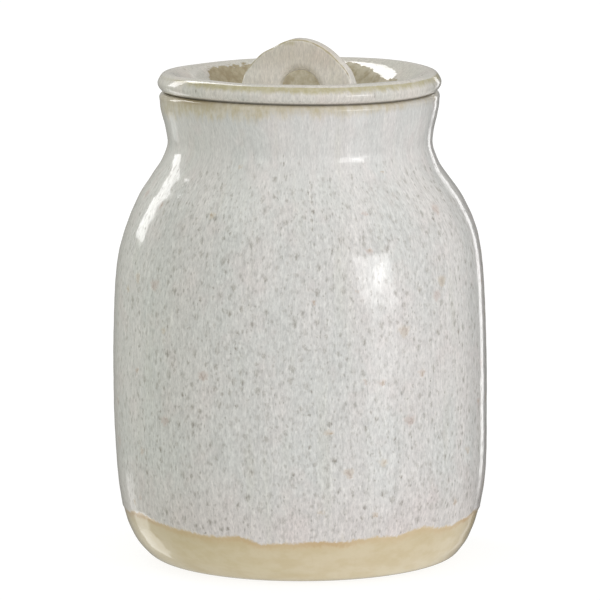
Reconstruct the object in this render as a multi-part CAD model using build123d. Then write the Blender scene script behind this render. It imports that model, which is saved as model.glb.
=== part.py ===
from build123d import *
import math
import os

# Lidded stoneware storage jar.
# Millimetres. +Z is up along the jar's axis, the origin is the centre of the foot ring on the surface it stands on.
# -Y is the front, the side from which the lid's ring handle shows its broad face.

# ---------------------------------------------------------------- driving dimensions
# jar
foot_outer_r = 50.0        # flat, unglazed foot ring
foot_inner_r = 39.0
foot_recess = 2.6          # how far the middle of the underside is raised
belly_r = 75.0             # widest radius of the belly
waist_r = 52.95            # narrowest radius, under the lip
lip_r = 55.85              # widest radius of the rolled lip
lip_top_z = 188.0          # height of the lip's flat seat
wall = 5.2                 # wall of the belly and shoulder
floor_z = 7.4              # inside floor
inside_corner_r = 17.0     # rounding between inside floor and wall
mouth_r = 49.0             # straight inside of the mouth, where the seal runs
mouth_bottom_z = 176.0
lip_outer_round = 2.3
lip_inner_round = 2.3

# lid
lid_r = 56.55              # outside of the lid's rim bead
lid_mid_z = 191.8          # height of the bead's widest point
lid_top_z = 196.05         # top of the bead
crest_r = 51.66            # where the rim is highest
well_floor_r = 27.5        # flat floor of the finger well that is sunk in the lid
well_floor_z = 174.0
plug_r = 44.2              # outside of the plug that hangs in the mouth
plug_bottom_z = 168.8
groove_r = 42.6            # floor of the seal's groove
groove_z0 = 177.2
groove_z1 = 184.8

# ring handle that stands in the well
ring_r = 23.4              # from the centre up to the top
ring_side_r = 24.2         # from the centre to the sides and down to the foot
ring_centre_z = 185.45
ring_thick = 6.4
ring_yaw = -20.0           # degrees about +Z
hole_r = 8.9
hole_dx = 0.6              # the finger hole sits a little off the ring's centre
hole_z = 187.5
ring_foot_z = 172.5        # the ring's foot stands in a shallow socket
socket_gap = 0.1
ring_edge_round = 1.9
hole_edge_round = 2.5

# seal
seal_inner_r = 42.65
seal_body_r = 45.2
seal_fin_r = 48.7
seal_gap = 0.1


def spun(points_or_edges):
    """Solid of revolution about Z from a closed chain of edges in the XZ half plane."""
    return revolve(make_face(Wire(points_or_edges)), axis=Axis.Z, revolution_arc=360)


def p(r, z):
    return Vector(r, 0, z)


def chain(*pts):
    """Straight edges through the given points."""
    return [Line(a, b) for a, b in zip(pts[:-1], pts[1:])]


# ---------------------------------------------------------------- jar body
# outside profile from the foot ring up to the lip, (radius, height)
outer = [
    (foot_outer_r, 0.0), (57.2, 0.62), (61.3, 2.05), (63.9, 4.0), (65.75, 6.1), (69.08, 12.0), (71.2, 18.0),
    (72.6, 24.0), (73.55, 30.0), (74.2, 37.0), (74.62, 46.0), (74.88, 57.0), (belly_r, 69.0), (74.95, 82.0),
    (74.66, 94.0), (74.24, 105.0), (73.62, 115.0), (72.52, 124.0), (70.55, 132.3), (67.58, 140.2), (63.6, 148.0),
    (58.85, 154.8), (55.1, 160.8), (waist_r, 167.6), (53.68, 173.4), (55.02, 179.0), (55.7, 182.2),
    (lip_r, lip_top_z - lip_outer_round),
]


def inward(points, d):
    """The same profile, moved inwards by the wall thickness."""
    out = []
    for i, (r, z) in enumerate(points):
        r0, z0 = points[max(i - 1, 0)]
        r1, z1 = points[min(i + 1, len(points) - 1)]
        length = math.hypot(r1 - r0, z1 - z0)
        out.append((r - d * (z1 - z0) / length, z + d * (r1 - r0) / length))
    return out


# the inside wall follows the outside between the floor's rounding and the throat
inner_wall = [q for q, o in zip(inward(outer, wall), outer) if 27.0 < o[1] < 165.0]
inner_r0 = inner_wall[0][0]


def slope(i):
    """Direction of the outside profile at its point i."""
    (r0, z0), (r1, z1) = outer[i - 1], outer[i + 1]
    return (r1 - r0, 0, z1 - z0)


# the outside in runs that meet smoothly: base curve, belly, shoulder, neck and lip
breaks = [0, 7, 17, 23, len(outer) - 1]
directions = [(1, 0, 0), slope(7), slope(17), slope(23), (0, 0, 1)]
outside_edges = [
    Spline([p(*q) for q in outer[a : b + 1]], tangents=[da, db])
    for a, b, da, db in zip(breaks[:-1], breaks[1:], directions[:-1], directions[1:])
]
lip_flat_out = p(lip_r - lip_outer_round, lip_top_z)
lip_flat_in = p(mouth_r + lip_inner_round, lip_top_z)
k = math.sqrt(0.5)
lip_arc_out = ThreePointArc(
    p(lip_r, lip_top_z - lip_outer_round),
    p(lip_r - lip_outer_round + lip_outer_round * k, lip_top_z - lip_outer_round + lip_outer_round * k),
    lip_flat_out,
)
lip_arc_in = ThreePointArc(
    lip_flat_in,
    p(mouth_r + lip_inner_round - lip_inner_round * k, lip_top_z - lip_inner_round + lip_inner_round * k),
    p(mouth_r, lip_top_z - lip_inner_round),
)
mouth_top = p(mouth_r, lip_top_z - lip_inner_round)
mouth_bottom = p(mouth_r, mouth_bottom_z)
inside_points = [(mouth_r, mouth_bottom_z), (48.1, 171.6), (47.35, 167.2)] + inner_wall[::-1]
inside_points += [(inner_r0 - 0.55, floor_z + inside_corner_r)]
inside_edge = Spline([p(*q) for q in inside_points], tangents=[(0, 0, -1), (-0.08, 0, -1)])
corner_start = p(inner_r0 - 0.55, floor_z + inside_corner_r)
corner_end = p(inner_r0 - 0.55 - inside_corner_r, floor_z)
corner_arc = ThreePointArc(
    corner_start,
    p(inner_r0 - 0.55 - inside_corner_r + inside_corner_r * k, floor_z + inside_corner_r - inside_corner_r * k),
    corner_end,
)

recess_out = p(foot_inner_r, 0)
jar_body = spun(
    outside_edges + [lip_arc_out, Line(lip_flat_out, lip_flat_in), lip_arc_in, Line(mouth_top, mouth_bottom),
     inside_edge, corner_arc, Line(corner_end, p(0, floor_z)), Line(p(0, floor_z), p(0, foot_recess)),
     Line(p(0, foot_recess), p(foot_inner_r - foot_recess, foot_recess)),
     Line(p(foot_inner_r - foot_recess, foot_recess), recess_out), Line(recess_out, p(foot_outer_r, 0))]
)

# ---------------------------------------------------------------- ring handle
# a disc with a finger hole, cut straight across below and stood on edge, its edges rounded
# how far the outline stands from the centre, by the angle from +X towards +Z: hand cut, flatter at both shoulders
ring_outline = [
    (0, 24.2), (14, 24.15), (26, 23.95), (37, 23.3), (48, 23.05), (62, 23.15), (76, 23.3), (90, ring_r),
    (103, 23.0), (115, 22.5), (126, 22.6), (137, 23.05), (148, 23.65), (159, 24.1), (171, ring_side_r),
] + [(a, ring_side_r) for a in range(183, 351, 12)]
around = [
    Vector(r * math.cos(math.radians(a)), ring_thick / 2, ring_centre_z + r * math.sin(math.radians(a)))
    for a, r in ring_outline
]
disc = extrude(make_face(Wire([Spline(around, periodic=True)])), amount=ring_thick, dir=(0, -1, 0))
disc = fillet(disc.edges().filter_by(GeomType.BSPLINE), ring_edge_round)
disc -= Pos(hole_dx, 0, hole_z) * Rot(90, 0, 0) * Cylinder(hole_r, ring_thick * 2)
hole_rims = [e for e in disc.edges() if e.geom_type == GeomType.CIRCLE and abs(e.radius - hole_r) < 0.01]
disc = fillet(hole_rims, hole_edge_round)
disc -= Pos(0, 0, ring_foot_z - 20) * Box(100, 40, 40)
handle = Rot(0, 0, ring_yaw) * disc

# ---------------------------------------------------------------- lid
# the finger well is a dish: its wall leans out at about 50 degrees and rolls over softly into the rim
dish = [
    (well_floor_r, well_floor_z), (30.3, 174.5), (32.6, 176.0), (34.3, 178.0), (37.0, 181.6), (40.0, 185.6),
    (43.0, 189.3), (46.0, 192.4), (47.5, 193.7), (49.0, 194.85), (50.3, 195.62), (crest_r, lid_top_z),
]


def dish_slope(i):
    (r0, z0), (r1, z1) = dish[i - 1], dish[i + 1]
    return (r1 - r0, 0, z1 - z0)


dish_breaks = [0, 3, 7, len(dish) - 1]
dish_directions = [(1, 0, 0), dish_slope(3), dish_slope(7), (1, 0, 0)]
dish_edges = [
    Spline([p(*q) for q in dish[i : j + 1]], tangents=[di, dj])
    for i, j, di, dj in zip(dish_breaks[:-1], dish_breaks[1:], dish_directions[:-1], dish_directions[1:])
]
bead = Spline(
    [p(crest_r, lid_top_z), p(53.32, 195.72), p(54.8, 194.8), p(56.02, 193.4), p(lid_r, lid_mid_z), p(56.28, 190.4),
     p(55.5, 189.2), p(54.6, 188.45), p(53.9, lip_top_z)],
    tangents=[(1, 0, 0.0), (-1, 0, -0.45)],
)
seat_in = p(plug_r + 1.2, lip_top_z)
seat_arc = ThreePointArc(seat_in, p(plug_r + 1.2 - 1.2 * k, lip_top_z - 1.2 + 1.2 * k), p(plug_r, lip_top_z - 1.2))
plug_low = p(plug_r, plug_bottom_z + 7.2)
plug_curve = Spline(
    [plug_low, p(42.6, 173.6), p(38.6, 171.0), p(34.0, 169.4), p(28.0, plug_bottom_z)], tangents=[(0, 0, -1), (-1, 0, 0)]
)
lid = spun(
    [Line(p(0, well_floor_z), p(well_floor_r, well_floor_z))] + dish_edges
    + [bead, Line(p(53.9, lip_top_z), seat_in), seat_arc]
    + chain(p(plug_r, lip_top_z - 1.2), p(plug_r, groove_z1), p(groove_r, groove_z1), p(groove_r, groove_z0),
            p(plug_r, groove_z0), plug_low)
    + [plug_curve, Line(p(28.0, plug_bottom_z), p(0, plug_bottom_z)), Line(p(0, plug_bottom_z), p(0, well_floor_z))]
)
# shallow socket that the ring's foot is luted into
half_foot = math.sqrt(ring_side_r**2 - (ring_centre_z - well_floor_z) ** 2)
socket = Pos(0, 0, ring_foot_z + 5) * Box(2 * (half_foot + socket_gap), ring_thick + 2 * socket_gap, 10)
lid -= Rot(0, 0, ring_yaw) * socket

# ---------------------------------------------------------------- seal
# soft ring in the plug's groove, with two upturned fins that brush the inside of the mouth
z0 = groove_z0 + seal_gap
z1 = groove_z1 - seal_gap
seal = spun(
    chain(
        p(seal_inner_r, z0), p(seal_body_r, z0), p(seal_body_r, z0 + 0.9),
        p(seal_fin_r - 0.5, z0 + 1.9), p(seal_fin_r, z0 + 2.5), p(seal_fin_r - 0.3, z0 + 2.8), p(seal_body_r, z0 + 2.0),
        p(seal_body_r, z0 + 4.2),
        p(seal_fin_r - 0.5, z0 + 5.2), p(seal_fin_r, z0 + 5.8), p(seal_fin_r - 0.3, z0 + 6.1), p(seal_body_r, z0 + 5.3),
        p(seal_body_r, z1), p(seal_inner_r, z1), p(seal_inner_r, z0),
    )
)

# ---------------------------------------------------------------- write the pieces
pieces = {"jar_body": jar_body, "lid": lid, "lid_handle": handle, "seal_ring": seal}
os.makedirs("parts", exist_ok=True)
for name, shape in pieces.items():
    solids = shape.solids()
    body = solids[0] if len(solids) == 1 else Compound(children=solids)
    export_step(body, f"parts/{name}.step")
    box = shape.bounding_box()
    print(name, len(solids), "solid(s)", "volume", round(shape.volume, 1), "valid", shape.is_valid,
          "x %.2f..%.2f y %.2f..%.2f z %.2f..%.2f" % (box.min.X, box.max.X, box.min.Y, box.max.Y, box.min.Z, box.max.Z))

# overlaps between the pieces at rest
names = list(pieces)
for i, a in enumerate(names):
    for b in names[i + 1:]:
        common = pieces[a] & pieces[b]
        common_volume = sum(s.volume for s in common.solids()) if common is not None else 0.0
        print("overlap", a, b, round(common_volume, 4))
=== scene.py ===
import bpy
import math
import numpy as np
from mathutils import Matrix, Vector

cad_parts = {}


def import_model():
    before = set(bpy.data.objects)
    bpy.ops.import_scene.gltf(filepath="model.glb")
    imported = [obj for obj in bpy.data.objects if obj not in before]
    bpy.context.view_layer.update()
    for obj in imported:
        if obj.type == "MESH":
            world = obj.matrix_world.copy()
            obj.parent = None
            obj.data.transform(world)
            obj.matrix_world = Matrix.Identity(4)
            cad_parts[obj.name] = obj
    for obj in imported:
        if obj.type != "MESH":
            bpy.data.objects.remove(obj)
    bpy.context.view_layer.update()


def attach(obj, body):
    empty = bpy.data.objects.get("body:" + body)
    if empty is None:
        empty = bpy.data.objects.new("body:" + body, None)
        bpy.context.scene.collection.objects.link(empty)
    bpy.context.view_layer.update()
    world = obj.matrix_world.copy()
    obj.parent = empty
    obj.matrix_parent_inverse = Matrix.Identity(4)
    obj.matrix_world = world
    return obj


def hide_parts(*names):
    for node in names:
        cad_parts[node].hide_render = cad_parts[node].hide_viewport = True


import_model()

MM = 0.001
scene = bpy.context.scene
scene.view_settings.view_transform = "Standard"
scene.view_settings.look = "None"


# ================================================================ camera
def make_camera():
    """A long lens about 2.2 m in front, a little above the lid, rolled a quarter of a degree."""
    data = bpy.data.cameras.new("camera")
    cam = bpy.data.objects.new("camera", data)
    scene.collection.objects.link(cam)
    data.sensor_width = 36.0
    eye = Vector((0.0, -2200.0, 429.46)) * MM
    aim = Vector((0.0, 0.0, 103.76)) * MM
    back = (eye - aim).normalized()
    right = Vector((1, 0, 0))
    up = back.cross(right)
    roll = math.radians(0.296)
    r2 = right * math.cos(roll) - up * math.sin(roll)
    u2 = up * math.cos(roll) + right * math.sin(roll)
    m = Matrix((r2, u2, back)).transposed().to_4x4()
    m.translation = eye
    cam.matrix_world = m
    data.lens = (eye - aim).length / (0.4 * MM) / 600.0 * 36.0
    data.clip_start, data.clip_end = 0.05, 60.0
    scene.camera = cam


make_camera()


# ================================================================ small numeric helpers
def smooth(x, lo, hi):
    t = np.clip((np.asarray(x, float) - lo) / (hi - lo), 0, 1)
    return t * t * (3 - 2 * t)


def spline(px, py, x):
    """Cubic curve through points, with the slopes of a Catmull-Rom curve on uneven steps."""
    px, py, x = (np.asarray(a, float) for a in (px, py, x))
    h = np.diff(px)
    d = np.diff(py) / h
    m = np.empty_like(py)
    m[1:-1] = (d[:-1] * h[1:] + d[1:] * h[:-1]) / (h[:-1] + h[1:])
    m[0], m[-1] = d[0], d[-1]
    i = np.clip(np.searchsorted(px, x, side="right") - 1, 0, len(h) - 1)
    t = (x - px[i]) / h[i]
    a, b = py[i], py[i + 1]
    return (
        a * (2 * t**3 - 3 * t**2 + 1)
        + m[i] * h[i] * (t**3 - 2 * t**2 + t)
        + b * (3 * t**2 - 2 * t**3)
        + m[i + 1] * h[i] * (t**3 - t**2)
    )


def path(points, step):
    """Points along a smooth curve through the given (r, z) points, about step apart, ends kept."""
    pts = np.asarray(points, float)
    u = np.concatenate([[0], np.cumsum(np.hypot(*np.diff(pts, axis=0).T))])
    n = max(2, int(round(u[-1] / step)) + 1)
    w = np.linspace(0, u[-1], n)
    return np.stack([spline(u, pts[:, 0], w), spline(u, pts[:, 1], w)], 1)


def arc(cr, cz, rad, a0, a1, n):
    """Points on a circle's arc, angles in degrees from +r towards +z."""
    t = np.radians(np.linspace(a0, a1, n))
    return np.stack([cr + rad * np.cos(t), cz + rad * np.sin(t)], 1)


def line(a, b, n):
    return np.linspace(np.asarray(a, float), np.asarray(b, float), n)


def join(*runs):
    out = [runs[0]]
    for r in runs[1:]:
        if np.hypot(*(r[0] - out[-1][-1])) < 1e-6:
            r = r[1:]
        out.append(r)
    return np.concatenate(out)


def waves(theta, seed, lo, hi, power=1.0):
    """A smooth closed random curve of unit spread round the axis, made of whole waves lo..hi."""
    rng = np.random.RandomState(seed)
    out = np.zeros_like(theta)
    for k in range(lo, hi + 1):
        out += rng.normal() * np.cos(k * theta + rng.uniform(0, 2 * math.pi)) / k**power
    ref = math.sqrt(sum(0.5 / k ** (2 * power) for k in range(lo, hi + 1)))
    return out / ref


def field(x, y, z, seed, size, count=26):
    """A smooth random field of unit spread in space, with features about size across."""
    rng = np.random.RandomState(seed)
    out = np.zeros_like(x)
    for _ in range(count):
        d = rng.normal(size=3)
        d /= np.linalg.norm(d)
        f = 2 * math.pi / size * rng.uniform(0.55, 1.25)
        out += np.cos(f * (d[0] * x + d[1] * y + d[2] * z) + rng.uniform(0, 2 * math.pi))
    return out * math.sqrt(2.0 / count)


def crook(x, y, z, upto=1.0):
    """Hand-made unevenness shared by everything near the lip: the seat is a shallow saddle."""
    k = 0.000315 * smooth(z, 150.0, 186.0) * upto
    return z + k * x * y


def mesh_object(name, verts, faces, attrs, materials, body, nodes, second=None):
    """A piece from points in mm. second lists the faces that take the second material."""
    me = bpy.data.meshes.new(name)
    me.from_pydata((np.asarray(verts) * MM).tolist(), [], faces)
    me.update()
    for key, (kind, values) in attrs.items():
        a = me.attributes.new(key, kind, "POINT")
        values = np.asarray(values, np.float32)
        a.data.foreach_set("vector" if kind == "FLOAT_VECTOR" else "value", values.ravel())
    me.shade_smooth()
    ob = bpy.data.objects.new(name, me)
    scene.collection.objects.link(ob)
    for m in materials:
        me.materials.append(m)
    if second is not None:
        me.polygons.foreach_set("material_index", np.asarray(second, np.int32))
    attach(ob, body)
    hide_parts(*nodes)
    return ob


def revolve_grid(profile, segments):
    """theta, r, z grids (profile x segments) for a closed solid of revolution whose profile starts and ends on the
    axis.
    """
    n = len(profile)
    th = np.linspace(0, 2 * math.pi, segments, endpoint=False)
    R = np.repeat(profile[:, 0][:, None], segments, 1)
    Z = np.repeat(profile[:, 1][:, None], segments, 1)
    T = np.repeat(th[None], n, 0)
    return T, R, Z


def revolve_faces(n, segments, capped=True):
    """Faces for a grid of n rings. With caps, one more vertex closes the first ring and another the last."""
    faces = []
    for i in range(n - 1):
        a, b = i * segments, (i + 1) * segments
        for j in range(segments):
            k = (j + 1) % segments
            faces.append((a + j, b + j, b + k, a + k))
    if capped:
        first, last = n * segments, n * segments + 1
        e = (n - 1) * segments
        for j in range(segments):
            k = (j + 1) % segments
            faces.append((first, j, k))
            faces.append((last, e + k, e + j))
    else:
        e = (n - 1) * segments
        for j in range(segments):
            k = (j + 1) % segments
            faces.append((e + j, j, k, e + k))
    return faces


# ================================================================ node helpers
class Nodes:
    def __init__(self, tree):
        self.tree = tree
        self.nodes = tree.nodes
        self.links = tree.links

    def new(self, kind, **props):
        n = self.nodes.new(kind)
        for k, v in props.items():
            setattr(n, k, v)
        return n

    def put(self, socket, value):
        if value is None:
            return
        if isinstance(value, bpy.types.NodeSocket):
            self.links.new(value, socket)
        elif isinstance(value, (tuple, list)):
            value = tuple(value)
            if len(socket.default_value) == 4 and len(value) == 3:
                value += (1.0,)
            socket.default_value = value
        else:
            socket.default_value = value

    def attr(self, name, out="Vector"):
        return self.new("ShaderNodeAttribute", attribute_name=name).outputs[out]

    def math(self, op, a, b=None, c=None, clamp=False):
        n = self.new("ShaderNodeMath", operation=op, use_clamp=clamp)
        for s, v in zip(n.inputs, (a, b, c)):
            self.put(s, v)
        return n.outputs[0]

    def vmath(self, op, a, b=None, out=0):
        n = self.new("ShaderNodeVectorMath", operation=op)
        self.put(n.inputs[0], a)
        if b is not None:
            self.put(n.inputs[1], b)
        return n.outputs[out]

    def xyz(self, v):
        n = self.new("ShaderNodeSeparateXYZ")
        self.put(n.inputs[0], v)
        return n.outputs

    def pack(self, x, y, z):
        n = self.new("ShaderNodeCombineXYZ")
        for s, v in zip(n.inputs, (x, y, z)):
            self.put(s, v)
        return n.outputs[0]

    def range(self, x, lo, hi, a=0.0, b=1.0, kind="SMOOTHSTEP"):
        n = self.new("ShaderNodeMapRange", interpolation_type=kind)
        self.put(n.inputs["Value"], x)
        self.put(n.inputs["From Min"], lo)
        self.put(n.inputs["From Max"], hi)
        self.put(n.inputs["To Min"], a)
        self.put(n.inputs["To Max"], b)
        return n.outputs["Result"]

    def noise(self, vec, scale=1.0, detail=2.0, rough=0.5, distort=0.0, out="Fac"):
        n = self.new("ShaderNodeTexNoise", noise_dimensions="3D")
        self.put(n.inputs["Vector"], vec)
        self.put(n.inputs["Scale"], scale)
        self.put(n.inputs["Detail"], detail)
        self.put(n.inputs["Roughness"], rough)
        self.put(n.inputs["Distortion"], distort)
        return n.outputs[0 if out == "Fac" else 1]

    def voronoi(self, vec, scale=1.0, feature="F1", randomness=1.0):
        n = self.new("ShaderNodeTexVoronoi", voronoi_dimensions="3D", feature=feature)
        self.put(n.inputs["Vector"], vec)
        self.put(n.inputs["Scale"], scale)
        self.put(n.inputs["Randomness"], randomness)
        return n

    def mix(self, fac, a, b, blend="MIX", clamp=False):
        n = self.new("ShaderNodeMix", data_type="RGBA", blend_type=blend, clamp_result=clamp)
        self.put(n.inputs[0], fac)
        self.put(n.inputs[6], a)
        self.put(n.inputs[7], b)
        return n.outputs[2]

    def scale_vec(self, v, sx, sy, sz, offset=(0, 0, 0)):
        w = self.vmath("MULTIPLY", v, (sx, sy, sz))
        if any(offset):
            w = self.vmath("ADD", w, offset)
        return w

    def bump(self, height, distance, strength=1.0, normal=None):
        n = self.new("ShaderNodeBump")
        n.inputs["Strength"].default_value = strength
        n.inputs["Distance"].default_value = distance
        self.put(n.inputs["Height"], height)
        if normal is not None:
            self.put(n.inputs["Normal"], normal)
        return n.outputs[0]


def srgb(r, g, b):
    """Linear colour from 0..255 display values."""
    out = []
    for c in (r, g, b):
        c /= 255.0
        out.append(c / 12.92 if c <= 0.04045 else ((c + 0.055) / 1.055) ** 2.4)
    return tuple(out)


def material(name):
    m = bpy.data.materials.new(name)
    m.use_nodes = True
    t = m.node_tree
    for n in list(t.nodes):
        t.nodes.remove(n)
    N = Nodes(t)
    bsdf = N.new("ShaderNodeBsdfPrincipled")
    out = N.new("ShaderNodeOutputMaterial")
    t.links.new(bsdf.outputs[0], out.inputs["Surface"])
    return m, N, bsdf


# ================================================================ glaze
WHITE = srgb(214, 211, 208)
WHITE_COOL = srgb(207, 207, 204)
BLUSH = srgb(214, 204, 201)
TAN = srgb(193, 183, 157)
TAN_DEEP = srgb(186, 152, 106)
TAN_PALE = srgb(206, 199, 184)
UMBER = srgb(166, 150, 118)
BAND = srgb(181, 172, 138)
BAND_PALE = srgb(190, 183, 155)
CREAM = (1.0, 0.955, 0.87)
SPOT = srgb(146, 139, 128)
CLAY_LIGHT = srgb(205, 190, 162)
CLAY_DARK = srgb(178, 158, 126)


def swing(N, noise, gain):
    """A factor round 1 from a noise value round 0.5."""
    return N.math("ADD", N.math("MULTIPLY", N.math("SUBTRACT", noise, 0.5), gain), 1.0)


def scaled(N, colour, factor):
    n = N.new("ShaderNodeVectorMath", operation="SCALE")
    N.put(n.inputs[0], colour)
    N.put(n.inputs[3], factor)
    return n.outputs[0]


def drops(N, flow, cell, tall, rx, rz, seed, keep, wobble=0.3, soft=0.55, taper=0.35, bends=0.9):
    """Scattered drop-shaped spots, wide above and narrow below. Sizes in mm. Returns mask, and two random values per spot."""
    v = N.scale_vec(flow, 1.0 / cell, 1.0 / cell, 1.0 / tall, seed)
    bend = N.noise(N.scale_vec(flow, bends, bends, 0.7 * bends, seed), 1.0, 3.0, 0.65, out="Color")
    bend = N.vmath("MULTIPLY", N.vmath("SUBTRACT", bend, (0.5, 0.5, 0.5)), (4 * wobble / cell, 4 * wobble / cell, 4 * wobble / tall))
    v = N.vmath("ADD", v, bend)
    vor = N.voronoi(v)
    d = N.vmath("MULTIPLY", N.vmath("SUBTRACT", v, vor.outputs["Position"]), (cell / rx, cell / rx, tall / rz))
    dz = N.xyz(d)[2]
    # only the offset along the surface counts, not the one through it
    flat = N.vmath("MULTIPLY", d, (1, 1, 0))
    out = N.vmath("DOT_PRODUCT", flat, N.vmath("NORMALIZE", N.vmath("MULTIPLY", flow, (1, 1, 0))), out="Value")
    du2 = N.math("SUBTRACT", N.vmath("DOT_PRODUCT", flat, flat, out="Value"), N.math("MULTIPLY", out, out))
    narrow = N.math("MAXIMUM", N.math("SUBTRACT", 1.0, N.math("MULTIPLY", dz, taper)), 0.3)
    du2 = N.math("DIVIDE", du2, N.math("MULTIPLY", narrow, narrow))
    dist = N.math("SQRT", N.math("ADD", du2, N.math("MULTIPLY", dz, dz)))
    one, two, three = N.xyz(vor.outputs["Color"])
    size = N.range(one, 0.0, 1.0, 0.55, 1.3, "LINEAR")
    mask = N.range(N.math("DIVIDE", dist, size), 1.0 + soft, 1.0 - soft)
    there = N.math("LESS_THAN", three, keep)
    return N.math("MULTIPLY", mask, there), two, one


def white_glaze(N, flow, spots, thin_at, streak=1.0, blush=0.0, tint=None, tans=(TAN, TAN_PALE)):
    """Colour and relief of the streaky white glaze.

    flow is in millimetres: the way round, as a circle of fixed radius, and the way the glaze ran, in z.
    spots (0..1) says how many speckles there are, thin_at (0..1) where the glaze is so thin that the clay shows.
    """
    hair = N.noise(N.scale_vec(flow, 1.10, 1.10, 0.36), 1.0, 3.0, 0.70)
    grain = N.noise(N.scale_vec(flow, 2.4, 2.4, 0.55, (17, 8, 3)), 1.0, 2.0, 0.6)
    fine = N.noise(N.scale_vec(flow, 0.80, 0.80, 0.10, (21, 4, 6)), 1.0, 2.0, 0.5)
    mid = N.noise(N.scale_vec(flow, 0.34, 0.34, 0.05, (11, 3, 7)), 1.0, 3.0, 0.58)
    wide = N.noise(N.scale_vec(flow, 0.07, 0.07, 0.022, (5, 17, 2)), 1.0, 2.0, 0.5)
    mottle = N.noise(N.scale_vec(flow, 0.45, 0.45, 0.30, (31, 5, 9)), 1.0, 3.0, 0.6)

    colour = N.mix(N.range(wide, 0.32, 0.68), WHITE_COOL, WHITE)
    rosy = N.noise(N.scale_vec(flow, 0.11, 0.11, 0.08, (8, 1, 14)), 1.0, 2.0, 0.5)
    colour = N.mix(N.math("ADD", N.range(rosy, 0.50, 0.72, 0.0, 0.30), blush), colour, BLUSH)
    olive = N.noise(N.scale_vec(flow, 0.16, 0.16, 0.018, (2, 31, 6)), 1.0, 2.0, 0.5)
    colour = N.mix(N.range(olive, 0.55, 0.75, 0.0, 0.22), colour, srgb(203, 203, 190))
    if tint is not None:
        colour = N.vmath("MULTIPLY", colour, tint)
    grey = N.math("MULTIPLY", N.math("MULTIPLY", swing(N, hair, 0.72 * streak if isinstance(streak, float) else N.math("MULTIPLY", streak, 0.72)),
                                     swing(N, fine, 0.24)), N.math("MULTIPLY", swing(N, mid, 0.07), swing(N, mottle, 0.10)))
    grey = N.math("MULTIPLY", grey, swing(N, grain, 0.48))

    # speckles: many faint small ones, fewer clear ones, and here and there a soft rusty one
    faint, f1, f2 = drops(N, flow, 1.9, 2.4, 0.30, 0.66, (0.3, 0.7, 0.1), N.math("MULTIPLY", spots, 0.85), wobble=0.25, soft=0.8, bends=1.3)
    clear, c1, c2 = drops(N, flow, 3.9, 4.5, 0.62, 1.20, (4.3, 2.7, 9.1), N.math("MULTIPLY", spots, 0.84), wobble=0.42, soft=0.8, taper=0.5, bends=1.5)
    large, l1, l2 = drops(N, flow, 15.0, 17.0, 1.25, 1.5, (7.7, 1.9, 3.4), N.math("MULTIPLY", spots, 0.36), wobble=0.9, soft=0.9, bends=1.1)
    broken = N.range(N.math("ADD", hair, N.math("MULTIPLY", grain, 0.5)), 0.60, 0.82, 1.15, 0.55)
    faint = N.math("MULTIPLY", faint, N.math("MULTIPLY", N.math("POWER", f1, 1.3), 0.58))
    clear = N.math("MULTIPLY", clear, N.math("ADD", N.math("MULTIPLY", N.math("POWER", c1, 1.5), 0.62), 0.17))
    marks = N.math("MULTIPLY", N.math("MAXIMUM", faint, clear), broken, clamp=True)
    colour = N.mix(marks, colour, N.mix(c2, SPOT, srgb(152, 147, 137)))
    colour = scaled(N, colour, grey)
    rust = N.mix(N.range(l1, 0.3, 0.7), srgb(204, 190, 168), srgb(202, 184, 176))
    core = N.mix(N.range(l2, 0.4, 0.6), srgb(168, 146, 118), srgb(166, 148, 140))
    colour = N.mix(N.math("MULTIPLY", N.range(large, 0.0, 0.7), 0.45), colour, rust)
    colour = N.mix(N.math("MULTIPLY", N.range(N.math("MULTIPLY", large, N.range(hair, 0.38, 0.58)), 0.40, 0.95), 0.62), colour, core)
    speckle = N.math("MAXIMUM", N.math("MULTIPLY", marks, 1.9), N.math("MULTIPLY", large, 0.5))

    # where the glaze thins, the buff clay shows through in streaks
    thin = N.math("ADD", thin_at, N.math("MULTIPLY", N.math("SUBTRACT", mid, 0.5), 0.75))
    thin = N.math("ADD", thin, N.math("MULTIPLY", N.math("SUBTRACT", hair, 0.5), 0.5))
    thin = N.range(thin, 0.30, 0.78)
    thin = N.math("MULTIPLY", thin, N.range(thin_at, 0.02, 0.2))
    under = scaled(N, N.mix(N.range(mottle, 0.35, 0.65), tans[0], tans[1]), N.math("MULTIPLY", swing(N, hair, 0.30), swing(N, grain, 0.20)))
    colour = N.mix(thin, colour, under)

    swell = N.noise(N.scale_vec(flow, 0.20, 0.20, 0.11, (9, 9, 4)), 1.0, 2.0, 0.5)
    peel = N.noise(N.scale_vec(flow, 0.70, 0.70, 0.40, (1, 6, 3)), 1.0, 2.0, 0.5)
    height = N.math("MULTIPLY", swell, 0.075)
    height = N.math("ADD", height, N.math("MULTIPLY", peel, 0.016))
    height = N.math("SUBTRACT", height, N.math("MULTIPLY", speckle, 0.012))
    return colour, height, speckle, mid, hair, mottle


def glaze_surface(N, bsdf, colour, height, rough):
    N.put(bsdf.inputs["Base Color"], colour)
    N.put(bsdf.inputs["Roughness"], rough)
    bsdf.inputs["IOR"].default_value = 1.45
    bsdf.inputs["Specular IOR Level"].default_value = 0.1
    bsdf.inputs["Coat Weight"].default_value = 1.0
    bsdf.inputs["Coat Roughness"].default_value = 0.03
    bsdf.inputs["Coat IOR"].default_value = 1.52
    bump = N.bump(height, 0.001)
    N.put(bsdf.inputs["Normal"], bump)
    N.put(bsdf.inputs["Coat Normal"], bump)


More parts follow.
